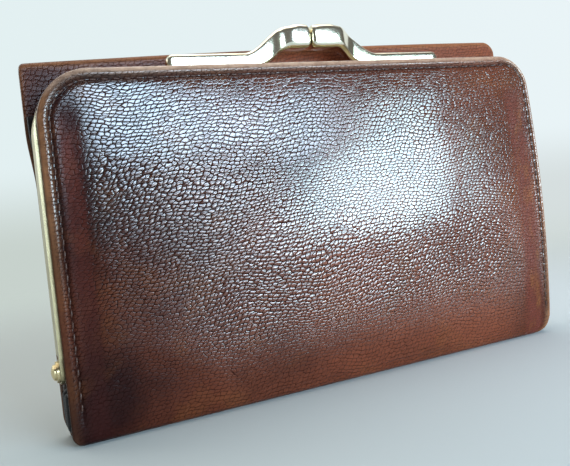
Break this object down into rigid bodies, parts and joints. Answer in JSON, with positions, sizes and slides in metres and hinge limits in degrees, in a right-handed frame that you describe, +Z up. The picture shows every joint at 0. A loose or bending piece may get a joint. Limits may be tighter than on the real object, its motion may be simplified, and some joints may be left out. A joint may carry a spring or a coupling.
{
  "type": "coin purse",
  "caption": "Flat leather coin purse with a hinged metal frame, snap clasp with long arms, side gussets and a taller bill pocket behind.",
  "frame": {"origin": "on the standing plane, under the middle of the purse's width and depth", "axes": "+X along the width, +Y from the front panel to the bill pocket, +Z up to the clasp"},
  "size_m": [0.1452, 0.015, 0.0938],
  "materials": {
    "leather": "glossy pebble grain, reddish brown",
    "gold_metal": "polished pale gold plate",
    "black_cloth": "black lining cloth",
    "board": "stiffening board",
    "thread": "waxed brown thread"
  },
  "bodies": {
    "purse": {"outer_wrap": "leather", "wrap_stitching": "thread", "pouch_lining": "black_cloth", "rear_board": "board", "rear_frame": "gold_metal", "right_clasp": "gold_metal", "left_rivet": "gold_metal", "right_rivet": "gold_metal", "left_gusset": "black_cloth", "right_gusset": "black_cloth", "left_pocket_gusset": "black_cloth", "right_pocket_gusset": "black_cloth"},
    "front_half": {"front_panel": "leather", "front_stitching": "thread", "front_board": "board", "front_lining": "black_cloth", "front_frame": "gold_metal", "left_clasp": "gold_metal"},
    "bill_leaf": {"leaf_leather": "leather", "leaf_board": "board", "leaf_lining": "black_cloth", "leaf_facing": "leather", "leaf_stitching": "thread"}
  },
  "joints": [
    {"name": "frame_open", "type": "hinge", "parent": "purse", "child": "front_half", "pos_m": [0, -0.00256, 0.0168], "axis": [1, 0, 0], "range_deg": [0, 60], "deforming": ["left_gusset", "right_gusset", "outer_wrap", "wrap_stitching"]},
    {"name": "pocket_open", "type": "hinge", "parent": "purse", "child": "bill_leaf", "pos_m": [0, 0.00369, 0.0012], "axis": [-1, 0, 0], "range_deg": [0, 20], "stiffness_Nm_per_rad": 0.05, "springref_deg": -1.15, "deforming": ["left_pocket_gusset", "right_pocket_gusset"]}
  ]
}
